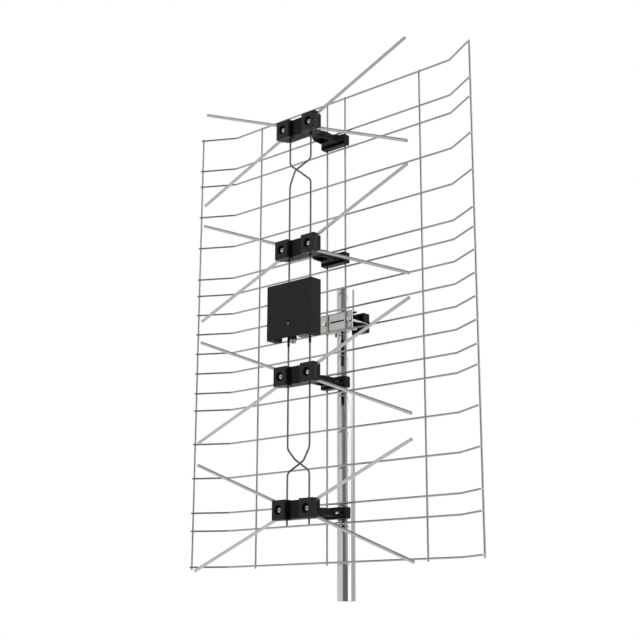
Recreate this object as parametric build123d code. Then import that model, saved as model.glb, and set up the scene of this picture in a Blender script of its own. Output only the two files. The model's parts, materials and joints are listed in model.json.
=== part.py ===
from build123d import *
import math
import os

# Four-bay bow-tie television antenna with a wire-grid reflector on a round mast.
# Sizes are millimetres. The origin is the centre of the mast's foot, +Z runs up the mast,
# +X is to the right and the bow ties look out along -Y.

# Mast
mast_od = 28.6
mast_wall = 1.5
grid_mid_z = 437.0            # height of the reflector's middle above the mast's foot
mast_rise = 56.0              # mast above the reflector's middle

# Reflector of round rods
wire_d = 3.0
bay_pitch = 204.0             # height between two bow ties
bay_count = 4
pair_gap = 30.0               # the two rods above and below each standoff
bay_fill_count = 2            # rods between two outer pairs
mid_fill_count = 4            # rods between the two middle pairs
end_gap = 59.0                # outermost rod to the pair next to it
inner_upright_x = 19.5
outer_upright_x = 173.5
wing_bend_x = 234.5
wing_length = 63.5            # from the bend to the edge upright
wing_angle = 29.0
wing_bend_r = 6.0
wire_overhang = 2.5           # wire past the last crossing, both ways

# Bow-tie elements
element_d = 5.0
element_setback = 89.0        # element plane in front of the horizontal rods
tip_x = 217.0
tip_z = 83.7
clamp_x = 28.0                # clamp screw beside the centre line
boss_r = 4.9                  # collar that each element is bent round
boss_short = 0.6              # collar's end before the back of the element
feed_d = 3.0
feed_x = 22.4
feed_top = 11.0               # feed line above the top bow tie's middle
feed_tail = 23.0              # feed line below the bottom bow tie's middle
cross_up_z = 229.0            # upper crossing above the reflector's middle
cross_down_z = 232.0          # lower crossing below it
cross_half = 18.0             # half the height over which the lines change sides
front_bow = (12.0, 8.0)       # how far one line bows out in front at each crossing
rear_bow = (1.0, 11.0)        # how far the other one bows out behind
cross_r = 11.0

# Clamp blocks and standoffs
slip = 0.05                   # radial clearance round wires, screws and bosses
split_gap = 0.1               # each clamp face stands this far from the element plane
cap_inner_x = 14.0
cap_side = 3.0                # caps and flanks past the base's end
cap_half_z = 15.0
cap_depth = 10.5
cap_chamfer = 0.8
base_half_x = 38.0
base_half_z = 13.8
base_depth = 16.0
base_chamfer = 5.5
bridge_depth = 3.5            # bridge between the caps, in front of the element plane
flank_depth = 4.0
neck_half_x = 6.0
arm_half_x = 12.5
arm_half_z = 5.5
arm_wall = 3.0
neck_end = 50.0               # the neck ends and starts to widen, in front of the rods
arm_start = 40.0
flare_start = 20.0
rail_half_x = 25.5
rail_half_z = 8.8
rail_half_y = 6.0
slot_half = 2.0
slot_wall = 1.8
clip_mouth = 2.7              # narrow mouth that snaps over the upright
pocket_half_x = 3.6           # cored pocket in the base, between the neck and the feed line
pocket_half_z = 9.5
pocket_depth = 7.0

# Clamp screws and nuts
screw_r = 2.5
head_r = 4.5
head_h = 3.2
sink_r = 7.3
sink_depth = 4.9
hex_socket_af = 4.0
hex_socket_depth = 2.2
nut_af = 8.0
nut_h = 4.0
screw_tail = 1.0              # screw past its nut

# Feed housing
housing_w = 92.0
housing_front = 21.2          # front face, in front of the element plane
housing_back = 2.0            # lid's rear face, behind the element plane
housing_top = 41.5
housing_bottom = -46.0
housing_wall = 2.0
housing_edge_r = 1.2
lid_t = 2.0
cheek_w = 12.0                # cheek left at each side of the socket bay in the underside
bay_h = 10.0
post_r = 3.6
post_inset = 6.0              # screw posts from the side walls
post_drop = 5.5               # and from the top and bottom walls
lens_x = 0.0
lens_z = -25.0
lens_r = 1.5
collar_r = 5.6
collar_h = 12.5
socket_body_r = 4.95          # smooth body that fills the collar
socket_r = 4.76               # threaded end below it, smaller so that it goes through from inside
socket_reach = 5.0
socket_shoulder_af = 11.0
socket_shoulder_h = 3.0
socket_bore_r = 3.2
socket_bore_depth = 6.0
contact_r = 0.9
contact_setback = 1.0         # contact's end above the socket's mouth
grommet_r = 9.3
grommet_side_gap = 3.7        # grommet to the cheek beside it
grommet_neck_r = 6.3
grommet_h = 11.2
grommet_dome_r = 4.0
grommet_lip = 0.8             # inner lip past the neck
grommet_lip_h = 2.0

# Inside the housing and on its back
board_side_gap = 7.0          # board to the outside of the side walls
board_top_gap = 11.0
board_drop = 24.0             # board's lower edge below the reflector's middle
board_t = 1.6
core_lift = 12.0              # transformer core above the reflector's middle
foot_r = 3.0
foot_inset = 5.0
pin_r = 0.7                   # socket pin that lies on the board's front
pin_lap = 6.0
core_r = 7.0
core_hole_r = 3.0
core_h = 6.0
terminal_off = 5.2            # terminal screw beside the feed line
terminal_w = 13.0
terminal_h = 12.0
terminal_edge = 3.0           # strap past the feed line, towards the middle
terminal_strap_t = 1.2
terminal_screw_r = 2.0
terminal_head_r = 4.0
terminal_head_h = 2.6
terminal_nut_af = 7.0
terminal_nut_h = 3.2
sleeve_wall = 0.5
sleeve_reach = 8.0            # sleeve past the housing, both ways
sleeve_bare = 10.0            # bare line each side of the terminal
saddle_z = 27.0
saddle_h = 8.0
saddle_w = 9.0
saddle_back = 2.2             # saddle past the line's middle
saddle_mouth = 0.3            # each lip of the saddle's mouth
lid_screw_r = 1.5
lid_screw_head_r = 2.8
lid_screw_head_h = 1.8
lid_screw_length = 12.0

# Mast clamp
vee_half_angle = 60.0
web_left_x = 35.0             # the web reaches further past the left bolt
web_right_x = 31.0
web_half_z = 15.0
web_t = 2.5
apex_gap = 2.3                # web's back to the bottom of the vee
flange_depth = 13.5
slot_length = 29.0
slot_h = 2.6
bolt_x = 26.3
bolt_r = 2.0
bolt_head_af = 7.0
bolt_head_h = 2.8
bolt_tail = 4.0               # bolt past its nut
jaw_half_x = 30.5
jaw_half_z = 15.5
jaw_front = 9.0               # jaw's front face behind the mast's axis
jaw_back = 25.0
jaw_wall = 3.0
jaw_edge_r = 2.5
washer_r = 4.5
washer_t = 1.0
bolt_nut_h = 3.2
pad_half_x = 18.0             # grip pad between the web and the mast
pad_half_z = 9.0
pad_gap = 0.1

cap_outer_x = base_half_x + cap_side
grommet_x = housing_w / 2 - cheek_w - grommet_r - grommet_side_gap
mast_r = mast_od / 2
mast_length = grid_mid_z + mast_rise
vee_sin = math.sin(math.radians(vee_half_angle))
vee_tan = math.tan(math.radians(vee_half_angle))
vee_apex = mast_r / vee_sin                    # bottom of either vee from the mast's axis
web_back_y = -(vee_apex + apex_gap)
web_front_y = web_back_y - web_t
grid_y = web_front_y - 1.5 * wire_d            # plane of the horizontal rods
upright_y = grid_y + wire_d
wing_cos = math.cos(math.radians(wing_angle))
wing_sin = math.sin(math.radians(wing_angle))

element_y = grid_y - element_setback
feed_y = element_y + (element_d + feed_d) / 2
bay_z = [grid_mid_z + bay_pitch * (bay_count / 2 - 0.5 - i) for i in range(bay_count)]


def rod_heights():
    """Heights of the horizontal rods, from the top down."""
    half = pair_gap / 2
    heights = [bay_z[0] + half + end_gap]
    for i, z in enumerate(bay_z):
        heights += [z + half, z - half]
        last = i == bay_count - 1
        if last:
            heights.append(z - half - end_gap)
            continue
        fill = mid_fill_count if i == bay_count // 2 - 1 else bay_fill_count
        step = (bay_pitch - pair_gap) / (fill + 1)
        heights += [z - half - step * (n + 1) for n in range(fill)]
    return heights


rod_z = rod_heights()


def round_bar(points, radii, diameter):
    """A round wire along straight runs joined by tangent arcs."""
    path = FilletPolyline(*points, radius=radii)
    start = Plane(origin=path @ 0, z_dir=path % 0)
    return sweep(start * Circle(diameter / 2), path=path)


def tube_y(radius, y0, y1, x=0.0, z=0.0):
    """A cylinder along Y between two planes."""
    return Pos(x, (y0 + y1) / 2, z) * Rot(90, 0, 0) * Cylinder(radius, abs(y1 - y0))


def block(x0, x1, y0, y1, z0, z1):
    """A box between two corners."""
    return Pos((x0 + x1) / 2, (y0 + y1) / 2, (z0 + z1) / 2) * Box(x1 - x0, y1 - y0, z1 - z0)


def hex_y(flats, y0, y1, x=0.0, z=0.0):
    """A hexagon bar along Y between two planes, with two corners up and down."""
    outline = RegularPolygon(flats / 2, 6, major_radius=False)
    face = Plane.XZ.offset(-y0) * Pos(x, z) * Rot(0, 0, 30) * outline
    return extrude(face, -(y1 - y0))


def plan(points, z0, z1):
    """An outline in the XY plane, extruded in height."""
    face = make_face(Polyline(*points, close=True))
    return extrude(Plane.XY.offset(z0) * face, z1 - z0)


def mirrored(points):
    """The right half of a plan outline and its mirror image, as one closed outline."""
    return points + [(-x, y) for x, y in reversed(points)]


def save(name, shape):
    export_step(shape, f"parts/{name}.step")


def reflector_rod(z):
    """A horizontal rod with both wings bent forward."""
    reach = wing_length + wire_overhang
    tip = (wing_bend_x + reach * wing_cos, grid_y - reach * wing_sin)
    points = [(-tip[0], tip[1], z), (-wing_bend_x, grid_y, z), (wing_bend_x, grid_y, z), (tip[0], tip[1], z)]
    return round_bar(points, wing_bend_r, wire_d)


def upright_places():
    """Names and places of the upright rods, which lie behind the horizontal ones."""
    edge_x = wing_bend_x + wing_length * wing_cos + wire_d * wing_sin
    edge_y = grid_y - wing_length * wing_sin + wire_d * wing_cos
    places = {}
    for side, s in (("left", -1), ("right", 1)):
        places[f"upright_{side}_edge"] = (s * edge_x, edge_y)
        places[f"upright_{side}_outer"] = (s * outer_upright_x, upright_y)
        places[f"upright_{side}_inner"] = (s * inner_upright_x, upright_y)
    return places


def upright(x, y):
    low = rod_z[-1] - wire_overhang - wire_d / 2
    high = rod_z[0] + wire_overhang + wire_d / 2
    return Pos(x, y, (low + high) / 2) * Cylinder(wire_d / 2, high - low)


def element_path(z):
    """Centre line of a right-hand element: two arms that run off a bend round the clamp screw."""
    bend_r = boss_r + element_d / 2
    dx, dz = tip_x - clamp_x, tip_z
    slope = math.atan2(dz, dx) - math.asin(bend_r / math.hypot(dx, dz))
    tx, tz = clamp_x - bend_r * math.sin(slope), bend_r * math.cos(slope)
    upper = Line((tip_x, element_y, z + tip_z), (tx, element_y, z + tz))
    bend = ThreePointArc((tx, element_y, z + tz), (clamp_x - bend_r, element_y, z), (tx, element_y, z - tz))
    lower = Line((tx, element_y, z - tz), (tip_x, element_y, z - tip_z))
    return upper + bend + lower


def element(z, radius):
    """Sweep of the right-hand element, at its own radius or a little more for its groove."""
    path = element_path(z)
    start = Plane(origin=path @ 0, z_dir=path % 0)
    return sweep(start * Circle(radius), path=path)


def other_side(shape):
    return mirror(shape, about=Plane.YZ)


def feed_line(side, facing, bows):
    """One of the two feed lines; it changes sides at both crossings and bows clear of the other."""
    x = side * feed_x
    points = [(x, feed_y, bay_z[0] + feed_top)]
    for z, bow in zip((grid_mid_z + cross_up_z, grid_mid_z - cross_down_z), bows):
        points.append((x, feed_y, z + cross_half))
        points.append((0, feed_y + facing * bow, z))
        points.append((-x, feed_y, z - cross_half))
        x = -x
    points.append((x, feed_y, bay_z[-1] - feed_tail))
    return round_bar(points, cross_r, feed_d)


def arm_outline():
    """Plan of the standoff from its clamp base to the rail on the uprights."""
    base_back = element_y + base_depth
    half = [
        (neck_half_x, base_back - 1.0),
        (neck_half_x, grid_y - neck_end),
        (arm_half_x, grid_y - arm_start),
        (arm_half_x, grid_y - flare_start),
        (rail_half_x, grid_y - rail_half_y),
        (rail_half_x, grid_y),
    ]
    return mirrored(half)


def arm_window():
    """Open window through the arm, a wall's width inside its outline."""
    half = [
        (neck_half_x - arm_wall + 0.5, grid_y - neck_end - 2),
        (arm_half_x - arm_wall, grid_y - arm_start + 1),
        (arm_half_x - arm_wall, grid_y - flare_start - arm_wall),
    ]
    return mirrored(half)


def standoff(z):
    """Moulded standoff: clamp base, arm with its window, and the rail that snaps on the uprights."""
    face_y = element_y + split_gap
    base_back = element_y + base_depth
    body = block(-base_half_x, base_half_x, face_y, base_back, z - base_half_z, z + base_half_z)
    body = chamfer(body.edges().filter_by(Axis.Z).sort_by(Axis.Y)[-2:], base_chamfer)
    bridge_x = cap_inner_x - split_gap
    body += block(-bridge_x, bridge_x, element_y - bridge_depth, face_y + 1,
                  z - base_half_z, z + base_half_z)
    for s in (-1, 1):
        x0, x1 = sorted((s * cap_inner_x, s * cap_outer_x))
        body += block(x0, x1, face_y, element_y + flank_depth, z - cap_half_z, z + cap_half_z)
    body += plan(arm_outline(), z - arm_half_z, z + arm_half_z)
    rail = block(-rail_half_x, rail_half_x, grid_y - rail_half_y, grid_y + rail_half_y,
                 z - rail_half_z, z + rail_half_z)
    body += fillet(rail.edges().filter_by(Axis.Y), 1.5)
    body -= plan(arm_window(), z - cap_half_z, z + cap_half_z)
    element_groove = element(z, element_d / 2 + slip)
    for s in (-1, 1):
        body -= element_groove if s > 0 else other_side(element_groove)
        body -= tube_y(boss_r + slip, face_y - 1, element_y + element_d / 2, s * clamp_x, z)
        body -= tube_y(screw_r + slip, face_y, base_back + 1, s * clamp_x, z)
        body -= hex_y(nut_af + 2 * slip, base_back - nut_h - split_gap, base_back + 1, s * clamp_x, z)
        groove_r = feed_d / 2 + slip
        body -= Pos(s * feed_x, feed_y, z) * Cylinder(groove_r, 4 * cap_half_z)
        body -= block(s * feed_x - groove_r, s * feed_x + groove_r, face_y - 1, feed_y,
                      z - 2 * cap_half_z, z + 2 * cap_half_z)
        clip_r = wire_d / 2 + slip
        body -= Pos(s * inner_upright_x, upright_y, z) * Cylinder(clip_r, 4 * rail_half_z)
        body -= block(s * inner_upright_x - clip_mouth / 2, s * inner_upright_x + clip_mouth / 2,
                      upright_y, grid_y + rail_half_y + 1, z - 2 * rail_half_z, z + 2 * rail_half_z)
        pocket_x = (neck_half_x + feed_x - groove_r) / 2
        body -= block(s * pocket_x - pocket_half_x, s * pocket_x + pocket_half_x,
                      base_back - pocket_depth, base_back + 1, z - pocket_half_z, z + pocket_half_z)
    return body


def rail_slot(z):
    """Long slot right through the flare and the rail, closed only by a thin wall at each end."""
    reach = rail_half_x - slot_wall
    front = grid_y - flare_start + arm_wall
    return block(-reach, reach, front, grid_y + flare_start, z - slot_half, z + slot_half)


def clamp_cap(z):
    """Right-hand clamp cap with its sunk screw seat, element groove and rear collar."""
    back_y = element_y - split_gap
    front_y = element_y - cap_depth
    cap = block(cap_inner_x, cap_outer_x, front_y, back_y, z - cap_half_z, z + cap_half_z)
    cap = chamfer(cap.faces().sort_by(Axis.Y)[0].edges(), cap_chamfer)
    cap += tube_y(boss_r - 2 * slip, back_y - 1, element_y + element_d / 2 - boss_short, clamp_x, z)
    cap -= element(z, element_d / 2 + slip)
    cap -= tube_y(sink_r, front_y - 1, front_y + sink_depth, clamp_x, z)
    cap -= tube_y(screw_r + slip, front_y, element_y + element_d, clamp_x, z)
    return cap


def clamp_screw(z):
    """Button-head screw with a hexagon socket, in the right-hand cap."""
    seat_y = element_y - cap_depth + sink_depth
    tip_y = element_y + base_depth + screw_tail
    rim = head_h * 0.45
    outline = make_face(
        Polyline((0, head_h), (0, 0), (head_r, 0), (head_r, rim))
        + ThreePointArc((head_r, rim), (head_r * 0.72, head_h * 0.84), (0, head_h)))
    head = Pos(clamp_x, seat_y, z) * Rot(0, 0, 180) * revolve(outline, Axis.Y)
    socket = hex_y(hex_socket_af, seat_y - head_h - 1, seat_y - head_h + hex_socket_depth, clamp_x, z)
    return head - socket + tube_y(screw_r, seat_y, tip_y, clamp_x, z)


def clamp_nut(z):
    base_back = element_y + base_depth
    nut = hex_y(nut_af, base_back - nut_h, base_back, clamp_x, z)
    return nut - tube_y(screw_r + slip, base_back - nut_h - 1, base_back + 1, clamp_x, z)


def both_sides(make):
    """A pair of like pieces at every bay, as separate solids of one group."""
    shapes = []
    for z in bay_z:
        right = make(z)
        shapes += [right, other_side(right)]
    return Compound(shapes)


# Feed housing, in its own planes
front_y = element_y - housing_front
back_y = element_y + housing_back
lid_front_y = back_y - lid_t
top_z = grid_mid_z + housing_top
bottom_z = grid_mid_z + housing_bottom
bay_roof_z = bottom_z + bay_h
mid_y = (front_y + back_y) / 2
board_front_y = mid_y + pin_r
board_back_y = board_front_y + board_t
board_half_x = housing_w / 2 - board_side_gap
board_low_z = grid_mid_z - board_drop


def housing_outline(inset):
    """Front view of the housing with the socket bay cut into its underside."""
    half = housing_w / 2 - inset
    bay = housing_w / 2 - cheek_w + inset
    low, roof = bottom_z + inset, bay_roof_z + inset
    right = [(half, top_z - inset), (half, low), (bay, low), (bay, roof)]
    return right + [(-x, z) for x, z in reversed(right)]


def front_view(points, y0, y1):
    """An outline in the XZ plane, extruded from y0 back to y1."""
    face = make_face(Polyline(*[(x, y0, z) for x, z in points], close=True))
    return extrude(face, amount=y1 - y0, dir=(0, 1, 0))


def post_places():
    post_x = housing_w / 2 - post_inset
    return [(x, z) for x in (-post_x, post_x) for z in (top_z - post_drop, bottom_z + post_drop)]


def housing_shell():
    """Front shell with its front wall, side walls, screw posts and the socket's collar."""
    outer = front_view(housing_outline(0), front_y, lid_front_y)
    skirt = block(-housing_w / 2, housing_w / 2, front_y, front_y + housing_wall, bottom_z, top_z)
    shell = outer + skirt
    shell = fillet(shell.faces().sort_by(Axis.Y)[0].edges(), housing_edge_r)
    shell -= front_view(housing_outline(housing_wall), front_y + housing_wall, lid_front_y + 1)
    for x, z in post_places():
        post = tube_y(post_r, front_y + housing_wall, lid_front_y, x, z)
        shell += post - tube_y(lid_screw_r + slip, lid_front_y - lid_screw_length, lid_front_y + 1, x, z)
    collar_mid_z = bay_roof_z + (housing_wall - collar_h) / 2
    shell += Pos(0, mid_y, collar_mid_z) * Cylinder(collar_r, collar_h + housing_wall)
    shell -= Pos(0, mid_y, bay_roof_z) * Cylinder(socket_body_r + slip, 4 * collar_h)
    shell -= Pos(grommet_x, mid_y, bay_roof_z) * Cylinder(grommet_neck_r, 4 * housing_wall)
    shell -= tube_y(lens_r + slip, front_y - 1, front_y + housing_wall + 1, lens_x, grid_mid_z + lens_z)
    return shell


def terminal_places():
    return [s * (feed_x + terminal_off) for s in (-1, 1)]


def housing_lid():
    """Rear lid with the saddles that hold the sleeved feed lines, and the board's feet."""
    lid = front_view(housing_outline(0), lid_front_y, back_y)
    sleeve_r = feed_d / 2 + sleeve_wall + slip
    for s in (-1, 1):
        x = s * feed_x
        for z in (grid_mid_z + saddle_z, grid_mid_z - saddle_z):
            saddle = block(x - saddle_w / 2, x + saddle_w / 2, lid_front_y, feed_y + saddle_back,
                           z - saddle_h / 2, z + saddle_h / 2)
            lid += chamfer(saddle.edges().filter_by(Axis.Z).sort_by(Axis.Y)[-2:], 1.0)
        lid -= Pos(x, feed_y, grid_mid_z) * Cylinder(sleeve_r, 3 * housing_w)
        mouth = sleeve_r - saddle_mouth
        lid -= block(x - mouth, x + mouth, feed_y, feed_y + 2 * saddle_back, bottom_z, top_z)
        foot_x = s * (board_half_x - foot_inset)
        lid += tube_y(foot_r, board_back_y, lid_front_y, foot_x, grid_mid_z + foot_inset)
    for x in terminal_places():
        lid -= tube_y(terminal_screw_r + slip, lid_front_y - 1, back_y + 1, x, grid_mid_z)
    for x, z in post_places():
        lid -= tube_y(lid_screw_r + slip, lid_front_y - 1, back_y + 1, x, z)
    return lid


def circuit_board():
    board_top_z = top_z - board_top_gap
    board = block(-board_half_x, board_half_x, board_front_y, board_back_y, board_low_z, board_top_z)
    board = fillet(board.edges().filter_by(Axis.Y), 2.0)
    for x in terminal_places():
        board -= tube_y(terminal_screw_r + slip, board_front_y - 1, board_back_y + 1, x, grid_mid_z)
    return board


def balun_core():
    """Ferrite ring of the feed transformer, flat on the board."""
    core_z = grid_mid_z + core_lift
    ring = tube_y(core_r, board_front_y - core_h, board_front_y, 0, core_z)
    return ring - tube_y(core_hole_r, board_front_y - core_h - 1, board_front_y + 1, 0, core_z)


def coax_socket():
    """Socket: hexagon shoulder inside the bay roof, smooth body down the collar, threaded end."""
    body_low = bay_roof_z - collar_h
    low = body_low - socket_reach
    shoulder_z = bay_roof_z + housing_wall
    barrel = Pos(0, mid_y, (low + body_low) / 2) * Cylinder(socket_r, socket_reach)
    barrel += Pos(0, mid_y, (body_low + shoulder_z) / 2) * Cylinder(socket_body_r, shoulder_z - body_low)
    shoulder_face = RegularPolygon(socket_shoulder_af / 2, 6, major_radius=False)
    shoulder = Pos(0, mid_y, shoulder_z) * extrude(shoulder_face, socket_shoulder_h)
    pin_top = board_low_z + pin_lap
    pin = Pos(0, mid_y, (shoulder_z + pin_top) / 2) * Cylinder(pin_r, pin_top - shoulder_z)
    bore = Pos(0, mid_y, low) * Cylinder(socket_bore_r, 2 * socket_bore_depth)
    contact_h = socket_bore_depth - contact_setback + 1
    contact = Pos(0, mid_y, low + contact_setback + contact_h / 2) * Cylinder(contact_r, contact_h)
    return barrel - bore + contact + shoulder + pin


def grommet():
    """Blind rubber grommet: plug in the bay roof, flange and dome below it."""
    low = bay_roof_z - grommet_h
    inside = bay_roof_z + housing_wall + slip
    body = Pos(0, 0, (low + bay_roof_z) / 2) * Cylinder(grommet_r, grommet_h)
    body = fillet(body.edges().sort_by(Axis.Z)[0], grommet_dome_r)
    body += Pos(0, 0, inside / 2 + bay_roof_z / 2) * Cylinder(grommet_neck_r - slip, inside - bay_roof_z + 1)
    body += Pos(0, 0, inside + grommet_lip_h / 2) * Cylinder(grommet_neck_r + grommet_lip, grommet_lip_h)
    return Pos(grommet_x, mid_y, 0) * body


def indicator_lens():
    y0, y1 = front_y - 0.4, front_y + housing_wall + 0.6
    lens = tube_y(lens_r, y0, y1, lens_x, grid_mid_z + lens_z)
    lens += tube_y(lens_r + 0.8, front_y + housing_wall, y1, lens_x, grid_mid_z + lens_z)
    return lens


def lid_screws():
    screws = []
    for x, z in post_places():
        head = tube_y(lid_screw_head_r, back_y, back_y + lid_screw_head_h, x, z)
        head = chamfer(head.edges().sort_by(Axis.Y)[-1:], 0.7)
        slot = block(x - 0.4, x + 0.4, back_y + 0.9, back_y + 3, z - 2, z + 2)
        slot += block(x - 2, x + 2, back_y + 0.9, back_y + 3, z - 0.4, z + 0.4)
        shank = tube_y(lid_screw_r, back_y + 0.5 - lid_screw_length, back_y + 0.5, x, z)
        screws.append(head - slot + shank)
    return Compound(screws)


strap_y = feed_y + feed_d / 2
plate_y = feed_y - feed_d / 2


def terminal_straps():
    """Folded straps that pinch each feed line onto the plate under its terminal screw."""
    straps = []
    for s in (-1, 1):
        x_in = s * (feed_x - terminal_edge)
        x_out = s * (feed_x - terminal_edge + terminal_w)
        x0, x1 = sorted((x_in, x_out))
        z0, z1 = grid_mid_z - terminal_h / 2, grid_mid_z + terminal_h / 2
        strap = block(x0, x1, strap_y, strap_y + terminal_strap_t, z0, z1)
        leg0, leg1 = sorted((x_out, x_out - s * terminal_strap_t))
        strap += block(leg0, leg1, back_y, strap_y + terminal_strap_t, z0, z1)
        strap += block(x0, x1, back_y, plate_y, z0, z1)
        screw_x = s * (feed_x + terminal_off)
        strap -= tube_y(terminal_screw_r + slip, back_y - 1, strap_y + 3, screw_x, grid_mid_z)
        straps.append(strap)
    return Compound(straps)


def terminal_screws():
    screws = []
    for x in terminal_places():
        seat = strap_y + terminal_strap_t
        head = tube_y(terminal_head_r, seat, seat + terminal_head_h, x, grid_mid_z)
        head = fillet(head.edges().sort_by(Axis.Y)[-1:], 1.2)
        slot = block(x - 3.5, x + 3.5, seat + 1.4, seat + 3, grid_mid_z - 0.5, grid_mid_z + 0.5)
        shank = tube_y(terminal_screw_r, board_front_y - terminal_nut_h, seat, x, grid_mid_z)
        nut = hex_y(terminal_nut_af, board_front_y - terminal_nut_h, board_front_y, x, grid_mid_z)
        screws.append(head - slot + shank + nut)
    return Compound(screws)


def feed_sleeves():
    """Four sleeves on the feed lines, above and below the terminals."""
    sleeves = []
    outer, inner = feed_d / 2 + sleeve_wall, feed_d / 2 + slip
    for s in (-1, 1):
        for z0, z1 in ((bottom_z - sleeve_reach, grid_mid_z - sleeve_bare),
                       (grid_mid_z + sleeve_bare, top_z + sleeve_reach)):
            sleeve = Cylinder(outer, z1 - z0) - Cylinder(inner, z1 - z0 + 2)
            sleeves.append(Pos(s * feed_x, feed_y, (z0 + z1) / 2) * sleeve)
    return Compound(sleeves)


def mast():
    tube = Cylinder(mast_r, mast_length) - Cylinder(mast_r - mast_wall, mast_length + 2)
    return Pos(0, 0, mast_length / 2) * tube


def vee(y_apex, y_open, z0, z1):
    """Wedge-shaped cutter whose flanks just touch the mast."""
    reach = abs(y_open - y_apex) * vee_tan
    return plan([(0, y_apex), (reach, y_open), (-reach, y_open)], z0, z1)


def mast_bracket():
    """Folded steel channel: web behind the uprights, two flanges notched for the mast."""
    z0, z1 = grid_mid_z - web_half_z, grid_mid_z + web_half_z
    flange_y = web_back_y + flange_depth
    body = block(-web_left_x, web_right_x, web_front_y, flange_y, z0, z1)
    body = fillet(body.faces().sort_by(Axis.Y)[0].edges().filter_by(Axis.X), web_t)
    body -= block(-web_left_x - 1, web_right_x + 1, web_back_y, flange_y + 1, z0 + web_t, z1 - web_t)
    body = fillet(body.faces().sort_by(Axis.Y)[-2:].edges().filter_by(Axis.Z), 4.0)
    body -= vee(-vee_apex, flange_y + mast_r, z0 - 1, z1 + 1)
    slot = block(-slot_length / 2, slot_length / 2, web_front_y - 1, web_back_y + 1,
                 grid_mid_z - slot_h / 2, grid_mid_z + slot_h / 2)
    body -= fillet(slot.edges().filter_by(Axis.Y), slot_h / 2 - 0.05)
    for s in (-1, 1):
        body -= tube_y(bolt_r + 2 * slip, web_front_y - 1, web_back_y + 1, s * bolt_x, grid_mid_z)
    return body


def clamp_pad():
    """Black grip pad on the web's back, behind its slot and against the mast."""
    z0, z1 = grid_mid_z - pad_half_z, grid_mid_z + pad_half_z
    pad = block(-pad_half_x, pad_half_x, web_back_y, -mast_r - pad_gap, z0, z1)
    return chamfer(pad.edges().filter_by(Axis.Y), 1.5)


def mast_jaw():
    """Moulded rear jaw with its vee on the mast, a notch at each end for a bolt, and cored pockets."""
    z0, z1 = grid_mid_z - jaw_half_z, grid_mid_z + jaw_half_z
    jaw = block(-jaw_half_x, jaw_half_x, jaw_front, jaw_back, z0, z1)
    jaw = fillet(jaw.faces().sort_by(Axis.Y)[-1].edges(), jaw_edge_r)
    jaw -= vee(vee_apex, jaw_front - mast_r, grid_mid_z - 2 * jaw_half_z, grid_mid_z + 2 * jaw_half_z)
    notch = bolt_r + 2 * slip
    pocket_in = (vee_apex - jaw_front) * vee_tan + jaw_wall
    for s in (-1, 1):
        x0, x1 = sorted((s * bolt_x, s * (jaw_half_x + 1)))
        jaw -= block(x0, x1, jaw_front - 1, jaw_back + 1, grid_mid_z - notch, grid_mid_z + notch)
        jaw -= tube_y(notch, jaw_front - 1, jaw_back + 1, s * bolt_x, grid_mid_z)
        for side in (-1, 1):
            low, high = sorted((side * (notch + jaw_wall), side * (jaw_half_z - jaw_wall)))
            x0, x1 = sorted((s * pocket_in, s * (jaw_half_x - jaw_wall)))
            jaw -= block(x0, x1, jaw_front - 1, jaw_back - 2 * jaw_wall, grid_mid_z + low, grid_mid_z + high)
    return jaw


def clamp_bolts():
    bolts = []
    tip = jaw_back + washer_t + bolt_nut_h + bolt_tail
    for s in (-1, 1):
        head = hex_y(bolt_head_af, web_front_y - bolt_head_h, web_front_y, s * bolt_x, grid_mid_z)
        shank = tube_y(bolt_r, web_front_y, tip, s * bolt_x, grid_mid_z)
        bolts.append(head + chamfer(shank.edges().sort_by(Axis.Y)[-1:], 0.6))
    return Compound(bolts)


def clamp_washers():
    washers = []
    for s in (-1, 1):
        washer = tube_y(washer_r, jaw_back, jaw_back + washer_t, s * bolt_x, grid_mid_z)
        washers.append(washer - tube_y(bolt_r + slip, jaw_back - 1, jaw_back + 3, s * bolt_x, grid_mid_z))
    return Compound(washers)


def bolt_nuts():
    nuts = []
    y0 = jaw_back + washer_t
    for s in (-1, 1):
        nut = hex_y(bolt_head_af, y0, y0 + bolt_nut_h, s * bolt_x, grid_mid_z)
        nuts.append(nut - tube_y(bolt_r + slip, y0 - 1, y0 + bolt_nut_h + 1, s * bolt_x, grid_mid_z))
    return Compound(nuts)


def main():
    os.makedirs("parts", exist_ok=True)
    for i, z in enumerate(rod_z, 1):
        save(f"reflector_rod_{i:02d}", reflector_rod(z))
    for name, (x, y) in upright_places().items():
        save(name, upright(x, y))
    for i, z in enumerate(bay_z, 1):
        right = element(z, element_d / 2)
        save(f"element_{i}_right", right)
        save(f"element_{i}_left", other_side(right))
        save(f"standoff_{i}", standoff(z) - rail_slot(z))
    save("clamp_caps", both_sides(clamp_cap))
    save("clamp_screws", both_sides(clamp_screw))
    save("clamp_nuts", both_sides(clamp_nut))
    save("feed_line_front", feed_line(1, -1, front_bow))
    save("feed_line_rear", feed_line(-1, 1, rear_bow))
    save("feed_sleeves", feed_sleeves())
    save("housing_shell", housing_shell())
    save("housing_lid", housing_lid())
    save("circuit_board", circuit_board())
    save("balun_core", balun_core())
    save("coax_socket", coax_socket())
    save("cable_grommet", grommet())
    save("indicator_lens", indicator_lens())
    save("lid_screws", lid_screws())
    save("terminal_straps", terminal_straps())
    save("terminal_screws", terminal_screws())
    save("mast", mast())
    save("mast_bracket", mast_bracket())
    save("clamp_pad", clamp_pad())
    save("mast_jaw", mast_jaw())
    save("clamp_bolts", clamp_bolts())
    save("clamp_washers", clamp_washers())
    save("bolt_nuts", bolt_nuts())


main()
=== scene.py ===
import json
import math

import bpy
from mathutils import Matrix, Vector

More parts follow.
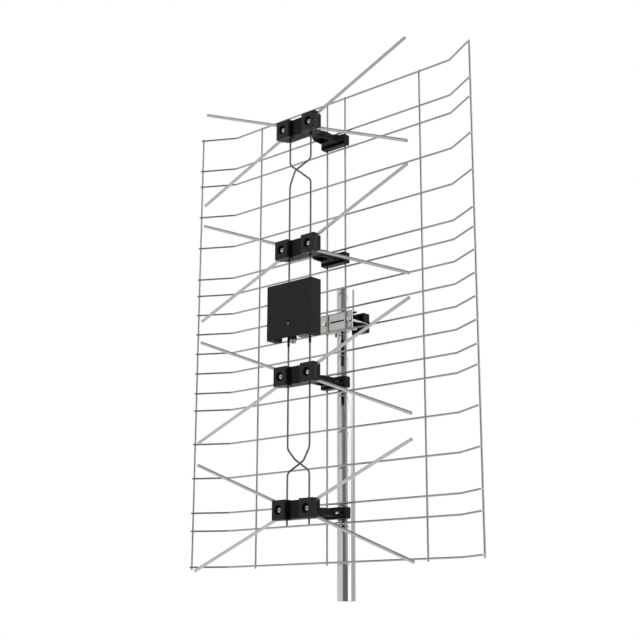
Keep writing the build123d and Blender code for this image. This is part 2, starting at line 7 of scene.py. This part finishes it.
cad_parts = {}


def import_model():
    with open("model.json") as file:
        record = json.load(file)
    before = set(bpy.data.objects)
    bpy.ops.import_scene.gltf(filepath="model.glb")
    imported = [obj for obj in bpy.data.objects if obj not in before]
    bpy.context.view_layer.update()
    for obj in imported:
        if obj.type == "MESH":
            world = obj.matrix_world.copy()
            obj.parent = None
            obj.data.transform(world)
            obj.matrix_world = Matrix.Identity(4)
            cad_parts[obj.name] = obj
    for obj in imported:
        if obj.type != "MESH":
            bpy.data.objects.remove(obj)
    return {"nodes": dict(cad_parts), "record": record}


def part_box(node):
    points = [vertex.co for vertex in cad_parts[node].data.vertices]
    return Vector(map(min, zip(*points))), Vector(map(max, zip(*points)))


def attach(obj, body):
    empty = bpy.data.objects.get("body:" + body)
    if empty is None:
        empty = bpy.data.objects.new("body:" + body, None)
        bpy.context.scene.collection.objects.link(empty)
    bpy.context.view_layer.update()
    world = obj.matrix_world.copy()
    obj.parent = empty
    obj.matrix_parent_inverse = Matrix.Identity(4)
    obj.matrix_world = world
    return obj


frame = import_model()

# Bolt and socket threads, in metres
bolt_r = 0.0020
bolt_pitch = 0.0007
bolt_crest = 0.00011
bolt_head_half = 0.0035       # half the head's width across flats
bolt_tip_chamfer = 0.0006
socket_r = 0.00476
socket_pitch = 0.00079
socket_crest = 0.00014
socket_mouth_edge = 0.0003    # plain edge below the socket's thread
socket_thread_length = 0.0044
flank_half = 0.42             # half the ridge's foot, as a share of the pitch
foot_sink = 0.3               # the foot's depth below the shank, as a share of the crest

# Weld nuggets on the reflector
wire_r = 0.0015
nugget_r = 0.00165
nugget_r_swing = 0.0002       # each nugget's radius differs by up to this much
row_phase = 7.3               # what sets one nugget's radius apart from the next: by row
post_phase = 210.0            # and by the upright's place, per metre
nugget_half_t = 0.0008
nugget_rings = 5
nugget_spokes = 10
edge_lean = math.radians(29)  # the wings' lean, for the nuggets on the edge uprights
rod_count = 18

# The photograph's camera
view_azimuth = math.radians(41.58)
view_elevation = math.radians(-14.33)
view_roll = math.radians(0.15)
view_place = Vector((1.2167, -1.4340, -0.0366))
lens_mm = 67.35
sensor_mm = 36.0

# Floor and lamps
floor_half = 14.0
floor_z = -0.5
floor_glow = 0.8              # share of plain white that the camera sees on it
lamp_target = Vector((0, 0, 0.45))

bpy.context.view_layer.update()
scene = bpy.context.scene
nodes = frame["nodes"]
slot_of = {part["node"]: part["material_slot"] for part in frame["record"]["subparts"]}


class Graph:
    """A material's node tree with the few calls that the surfaces below need."""

    def __init__(self, name):
        self.material = bpy.data.materials.new(name)
        self.material.use_nodes = True
        self.tree = self.material.node_tree
        self.tree.nodes.clear()
        self.output = self.add("ShaderNodeOutputMaterial")
        self.shader = self.add("ShaderNodeBsdfPrincipled")
        self.link(self.shader.outputs[0], self.output.inputs["Surface"])
        self.place = self.add("ShaderNodeTexCoord").outputs["Object"]

    def add(self, kind, **settings):
        node = self.tree.nodes.new(kind)
        for key, value in settings.items():
            setattr(node, key, value)
        return node

    def link(self, source, target):
        self.tree.links.new(source, target)

    def noise(self, scale, detail=3.0, stretch=(1, 1, 1)):
        mapping = self.add("ShaderNodeMapping")
        mapping.inputs["Scale"].default_value = stretch
        self.link(self.place, mapping.inputs["Vector"])
        node = self.add("ShaderNodeTexNoise")
        node.inputs["Scale"].default_value = scale
        node.inputs["Detail"].default_value = detail
        node.inputs["Roughness"].default_value = 0.55
        self.link(mapping.outputs[0], node.inputs["Vector"])
        return node.outputs["Fac"]

    def ramp(self, value, stops):
        node = self.add("ShaderNodeValToRGB")
        ramp = node.color_ramp
        while len(ramp.elements) < len(stops):
            ramp.elements.new(0.5)
        for element, (at, colour) in zip(ramp.elements, stops):
            element.position = at
            element.color = (*colour, 1.0)
        self.link(value, node.inputs["Fac"])
        return node.outputs["Color"]

    def span(self, value, low, high):
        """The middle of a noise's range, 0.3 to 0.7, stretched from low to high."""
        node = self.add("ShaderNodeMapRange")
        node.inputs["From Min"].default_value = 0.3
        node.inputs["From Max"].default_value = 0.7
        node.inputs["To Min"].default_value = low
        node.inputs["To Max"].default_value = high
        self.link(value, node.inputs["Value"])
        return node.outputs["Result"]

    def bump(self, value, distance):
        node = self.add("ShaderNodeBump")
        node.inputs["Strength"].default_value = 1.0
        node.inputs["Distance"].default_value = distance
        self.link(value, node.inputs["Height"])
        self.link(node.outputs["Normal"], self.shader.inputs["Normal"])


def shades(colour, spread):
    """A darker, a plain and a lighter shade of a colour."""
    return [tuple(min(1.0, c * k) for c in colour) for k in (1 - spread, 1.0, 1 + spread)]


def surface(name, colour, rough, metal=0.0, spread=0.08, patch=45.0, grain=900.0, depth=2e-5,
            stretch=(1, 1, 1), rough_spread=0.06, coat=0.0, level=0.5):
    """A moulded, plated or painted surface: cloudy tone, uneven gloss and a fine grain."""
    g = Graph(name)
    cloud = g.noise(patch, 4.0, stretch)
    low, mid, high = shades(colour, spread)
    g.link(g.ramp(cloud, [(0.3, low), (0.5, mid), (0.72, high)]), g.shader.inputs["Base Color"])
    gloss = g.noise(patch * 3.7, 3.0, stretch)
    uneven = g.span(gloss, max(0.02, rough - rough_spread), rough + rough_spread)
    g.link(uneven, g.shader.inputs["Roughness"])
    g.shader.inputs["Metallic"].default_value = metal
    g.shader.inputs["Specular IOR Level"].default_value = level
    if coat:
        g.shader.inputs["Coat Weight"].default_value = coat
        g.shader.inputs["Coat Roughness"].default_value = 0.15
    g.bump(g.noise(grain, 2.0, stretch), depth)
    return g.material


drawn_x = (0.05, 1, 1)
drawn_z = (1, 1, 0.05)
finishes = {
    "grid_wire": surface("grid_wire_plating", (0.48, 0.48, 0.48), 0.20, 1.0, grain=2500, depth=4e-6),
    "element_rod": surface("element_rod_satin", (0.68, 0.68, 0.68), 0.28, 1.0, grain=2200, depth=5e-6),
    "feed_wire": surface("feed_wire_plating", (0.24, 0.24, 0.243), 0.14, 1.0, grain=2500, depth=3e-6),
    "black_moulding": surface("black_moulding_skin", (0.0075, 0.0075, 0.008), 0.34,
                              grain=1500, depth=8e-6, level=0.32),
    "black_sleeve": surface("black_sleeve_skin", (0.006, 0.006, 0.006), 0.38,
                            grain=1200, depth=1e-5, level=0.3),
    "grey_rubber": surface("grey_rubber_skin", (0.20, 0.20, 0.20), 0.62, grain=1400, depth=2e-5),
    "housing_plastic": surface("housing_skin", (0.0102, 0.0102, 0.0105), 0.58, spread=0.05,
                               grain=1800, depth=1.5e-5, level=0.26),
    "jaw_plastic": surface("jaw_skin", (0.0035, 0.0035, 0.0036), 0.40, grain=1500, depth=1e-5, level=0.2),
    "mast_chrome": surface("mast_plating", (0.80, 0.80, 0.81), 0.045, 1.0, spread=0.03, patch=30,
                           grain=700, depth=3e-6, stretch=drawn_z, rough_spread=0.02),
    "bracket_steel": surface("bracket_plating", (0.63, 0.615, 0.59), 0.13, 1.0, patch=60,
                             grain=1800, depth=3e-6, stretch=drawn_x, rough_spread=0.03),
    "board_laminate": surface("board_mask", (0.025, 0.17, 0.07), 0.35, patch=90, grain=900, depth=1e-5),
    "ferrite": surface("ferrite_skin", (0.055, 0.055, 0.06), 0.6, grain=1500, depth=3e-5),
    "socket_nickel": surface("socket_plating", (0.70, 0.68, 0.64), 0.2, 1.0, grain=1500, depth=4e-6),
    "lens_clear": surface("lens_skin", (0.16, 0.165, 0.165), 0.12, grain=900, depth=2e-6, coat=0.5),
    "terminal_brass": surface("terminal_plating", (0.74, 0.58, 0.30), 0.28, 1.0, grain=1600, depth=6e-6),
    "bright_screw": surface("bright_zinc", (0.93, 0.93, 0.93), 0.15, 1.0, patch=140,
                            grain=1800, depth=4e-6),
}
# The standoffs look darker than the clamp caps in the photograph.
standoff_skin = surface("standoff_skin", (0.0035, 0.0035, 0.0037), 0.36,
                        grain=1500, depth=8e-6, level=0.18)
for name, thing in nodes.items():
    for held in thing.material_slots:
        held.material = standoff_skin if name.startswith("standoff") else finishes[slot_of[name]]


def middle(name):
    """Centre of a CAD node's box."""
    low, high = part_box(name)
    return (Vector(low) + Vector(high)) / 2


def new_piece(name, verts, faces, slot):
    """A mesh piece in an existing finish, riding with the fixed frame."""
    mesh = bpy.data.meshes.new(name)
    mesh.from_pydata(verts, [], faces)
    for polygon in mesh.polygons:
        polygon.use_smooth = True
    mesh.materials.append(finishes[slot])
    thing = bpy.data.objects.new(name, mesh)
    scene.collection.objects.link(thing)
    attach(thing, "root")


def thread_ridge(start, axis, length, radius, pitch, crest, steps=24):
    """Helical ridge on a shank: foot, crest and foot at every step, in a frame round the axis."""
    axis = Vector(axis).normalized()
    side = axis.orthogonal().normalized()
    across = axis.cross(side)
    verts, faces = [], []
    count = int(length / pitch * steps)
    for i in range(count + 1):
        turn = 2 * math.pi * i / steps
        out = side * math.cos(turn) + across * math.sin(turn)
        along = length * i / count
        fade = min(1.0, i / steps, (count - i) / steps)
        for shift, lift in ((-flank_half, -foot_sink), (0.0, fade), (flank_half, -foot_sink)):
            at = min(max(along + shift * pitch, 0.0), length)
            verts.append(Vector(start) + axis * at + out * (radius + crest * lift))
    for i in range(count):
        a = 3 * i
        faces += [(a, a + 3, a + 4, a + 1), (a + 1, a + 4, a + 5, a + 2)]
    return verts, faces


def threads():
    """Rolled threads on both clamp bolts and the cut thread on the socket's end."""
    low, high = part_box("clamp_bolts")
    jaw_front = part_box("mast_jaw")[0].y
    web_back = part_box("clamp_pad")[0].y
    nut_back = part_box("bolt_nuts")[1].y
    z = (low.z + high.z) / 2
    verts, faces = [], []
    for x in (low.x + bolt_head_half, high.x - bolt_head_half):
        for y0, y1 in ((web_back, jaw_front), (nut_back, high.y - bolt_tip_chamfer)):
            more, sides = thread_ridge((x, y0, z), (0, 1, 0), y1 - y0, bolt_r, bolt_pitch, bolt_crest)
            faces += [tuple(len(verts) + i for i in side) for side in sides]
            verts += more
    new_piece("bolt_threads", verts, faces, "bright_screw")
    centre = middle("coax_socket")
    foot = (centre.x, centre.y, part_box("coax_socket")[0].z + socket_mouth_edge)
    verts, faces = thread_ridge(foot, (0, 0, 1), socket_thread_length, socket_r, socket_pitch,
                                socket_crest, steps=36)
    new_piece("socket_thread", verts, faces, "socket_nickel")


def nugget(spot, toward, spread, first):
    """Flattened ball at a crossing: two poles, then rings, with its faces numbered from first."""
    along = Vector((toward.y, -toward.x, 0))
    verts = [spot + toward * nugget_half_t, spot - toward * nugget_half_t]
    for r in range(1, nugget_rings):
        polar = math.pi * r / nugget_rings
        flat = spread * math.sin(polar)
        for q in range(nugget_spokes):
            around = 2 * math.pi * q / nugget_spokes
            verts.append(spot + toward * (nugget_half_t * math.cos(polar)) + along * (flat * math.cos(around))
                         + Vector((0, 0, flat * math.sin(around))))
    faces = []
    last = (nugget_rings - 2) * nugget_spokes
    for q in range(nugget_spokes):
        a, b = first + 2 + q, first + 2 + (q + 1) % nugget_spokes
        faces += [(first, a, b), (first + 1, b + last, a + last)]
        for r in range(nugget_rings - 2):
            here, below = r * nugget_spokes, (r + 1) * nugget_spokes
            faces.append((a + here, a + below, b + below, b + here))
    return verts, faces


def welds():
    """A small flattened nugget at each crossing of the reflector's rods."""
    rows = [middle(f"reflector_rod_{i:02d}").z for i in range(1, rod_count + 1)]
    verts, faces = [], []
    for side, s in (("left", -1), ("right", 1)):
        for tag in ("edge", "outer", "inner"):
            post = middle(f"upright_{side}_{tag}")
            lean = edge_lean if tag == "edge" else 0.0
            toward = Vector((s * math.sin(lean), math.cos(lean), 0))
            for k, z in enumerate(rows):
                spot = Vector((post.x, post.y, z)) - toward * wire_r
                spread = nugget_r + nugget_r_swing * math.sin(row_phase * k + post_phase * post.x)
                more, sides = nugget(spot, toward, spread, len(verts))
                verts += more
                faces += sides
    new_piece("weld_nuggets", verts, faces, "grid_wire")


def camera():
    """The photograph's viewpoint: right of the front, below the reflector's middle, looking up."""
    flat = math.cos(view_elevation)
    back = Vector((math.sin(view_azimuth) * flat, -math.cos(view_azimuth) * flat, math.sin(view_elevation)))
    level_right = Vector((math.cos(view_azimuth), math.sin(view_azimuth), 0.0))
    level_up = back.cross(level_right)
    right = math.cos(view_roll) * level_right + math.sin(view_roll) * level_up
    up = math.cos(view_roll) * level_up - math.sin(view_roll) * level_right
    data = bpy.data.cameras.new("photo_camera")
    data.sensor_width = sensor_mm
    data.lens = lens_mm
    data.clip_start = 0.05
    data.clip_end = 60.0
    view = bpy.data.objects.new("photo_camera", data)
    turn = Matrix((right, up, back)).transposed().to_4x4()
    turn.translation = view_place
    view.matrix_world = turn
    scene.collection.objects.link(view)
    scene.camera = view


def lamp(name, place, size, power):
    """Soft area lamp aimed at the antenna's middle; the plated parts don't mirror it."""
    data = bpy.data.lights.new(name, "AREA")
    data.shape = "RECTANGLE"
    data.size, data.size_y = size
    data.energy = power
    thing = bpy.data.objects.new(name, data)
    thing.location = place
    thing.rotation_euler = (lamp_target - Vector(place)).to_track_quat("-Z", "Y").to_euler()
    thing.visible_glossy = False
    scene.collection.objects.link(thing)


def world():
    """White to the camera; in reflections a studio with a softbox on the right and a dim front."""
    sky = bpy.data.worlds.new("studio")
    sky.use_nodes = True
    tree = sky.node_tree
    tree.nodes.clear()

    def add(kind, **settings):
        node = tree.nodes.new(kind)
        for key, value in settings.items():
            setattr(node, key, value)
        return node

    axes = add("ShaderNodeSeparateXYZ")
    tree.links.new(add("ShaderNodeTexCoord").outputs["Generated"], axes.inputs[0])
    flip = add("ShaderNodeMath", operation="MULTIPLY")
    flip.inputs[1].default_value = -1.0
    tree.links.new(axes.outputs["Y"], flip.inputs[0])
    turn = add("ShaderNodeMath", operation="ARCTAN2")
    tree.links.new(axes.outputs["X"], turn.inputs[0])
    tree.links.new(flip.outputs[0], turn.inputs[1])
    around = add("ShaderNodeMapRange")
    around.inputs["From Min"].default_value = -math.pi
    around.inputs["From Max"].default_value = math.pi
    tree.links.new(turn.outputs[0], around.inputs["Value"])

    def band(stops):
        """Brightness by the compass direction, in degrees: 0 is the front, 90 the right."""
        node = add("ShaderNodeValToRGB")
        while len(node.color_ramp.elements) < len(stops):
            node.color_ramp.elements.new(0.5)
        for element, (angle, level) in zip(node.color_ramp.elements, stops):
            element.position = (angle + 180) / 360
            element.color = (level, level, level, 1)
        tree.links.new(around.outputs[0], node.inputs["Fac"])
        return node.outputs["Color"]

    def blend(start, end, under, over):
        """One picture under, another over; they meet between two heights of the ray's direction."""
        height = add("ShaderNodeMapRange", interpolation_type="SMOOTHSTEP")
        height.inputs["From Min"].default_value = start
        height.inputs["From Max"].default_value = end
        tree.links.new(axes.outputs["Z"], height.inputs["Value"])
        node = add("ShaderNodeMix", data_type="RGBA")
        tree.links.new(height.outputs[0], node.inputs["Factor"])
        tree.links.new(under, node.inputs["A"])
        tree.links.new(over, node.inputs["B"])
        return node.outputs["Result"]

    low_walls = band([(-180, 0.62), (-105, 0.66), (-14, 0.66), (0, 0.15), (54, 0.13), (66, 1.25),
                      (96, 1.30), (108, 0.45), (165, 0.45), (180, 0.62)])
    high_walls = band([(-180, 0.62), (-60, 0.70), (-31, 0.68), (-19, 0.22), (36, 0.16), (50, 0.30),
                       (64, 1.25), (136, 1.25), (146, 0.42), (180, 0.50)])
    ceiling = band([(-180, 0.30), (180, 0.30)])
    ground = band([(-180, 0.8), (-16, 0.8), (6, 0.12), (50, 0.12), (68, 0.9), (180, 0.9)])
    # Heights are the Z of the ray's direction; the ground takes over from the walls downwards.
    walls = blend(0.06, 0.25, low_walls, high_walls)
    studio = blend(0.44, 0.72, walls, ceiling)
    studio = blend(-0.30, -0.62, studio, ground)
    path = add("ShaderNodeLightPath")
    seen = add("ShaderNodeMath", operation="MAXIMUM")
    tree.links.new(path.outputs["Is Camera Ray"], seen.inputs[0])
    tree.links.new(path.outputs["Is Transmission Ray"], seen.inputs[1])
    pick = add("ShaderNodeMix", data_type="RGBA")
    pick.inputs["B"].default_value = (1, 1, 1, 1)
    tree.links.new(seen.outputs[0], pick.inputs["Factor"])
    tree.links.new(studio, pick.inputs["A"])
    shade = add("ShaderNodeBackground")
    tree.links.new(pick.outputs["Result"], shade.inputs["Color"])
    tree.links.new(shade.outputs[0], add("ShaderNodeOutputWorld").inputs["Surface"])
    scene.world = sky


def floor():
    """Pale floor well below the mast's foot, which the camera sees as nearly white."""
    g = Graph("floor_paper")
    paper = g.ramp(g.noise(3.0), [(0.3, (0.90, 0.90, 0.90)), (0.7, (0.94, 0.94, 0.94))])
    g.link(paper, g.shader.inputs["Base Color"])
    g.shader.inputs["Roughness"].default_value = 0.9
    glow = g.add("ShaderNodeEmission")
    mix = g.add("ShaderNodeMixShader")
    path = g.add("ShaderNodeLightPath")
    share = g.add("ShaderNodeMath", operation="MULTIPLY")
    share.inputs[1].default_value = floor_glow
    g.link(path.outputs["Is Camera Ray"], share.inputs[0])
    g.link(share.outputs[0], mix.inputs[0])
    g.link(g.shader.outputs[0], mix.inputs[1])
    g.link(glow.outputs[0], mix.inputs[2])
    g.link(mix.outputs[0], g.output.inputs["Surface"])
    mesh = bpy.data.meshes.new("floor")
    corners = [(x * floor_half, y * floor_half, floor_z) for x, y in ((-1, -1), (1, -1), (1, 1), (-1, 1))]
    mesh.from_pydata(corners, [], [(0, 1, 2, 3)])
    mesh.materials.append(g.material)
    thing = bpy.data.objects.new("floor", mesh)
    thing.visible_glossy = False
    scene.collection.objects.link(thing)


camera()
threads()
welds()
world()
floor()
lamp("key_lamp", (-1.6, -2.4, 2.2), (1.6, 1.6), 60)
lamp("side_lamp", (2.6, -0.6, 1.2), (1.2, 1.8), 28)
lamp("back_lamp", (0.6, 2.4, 1.8), (1.6, 1.2), 40)
scene.view_settings.view_transform = "Standard"
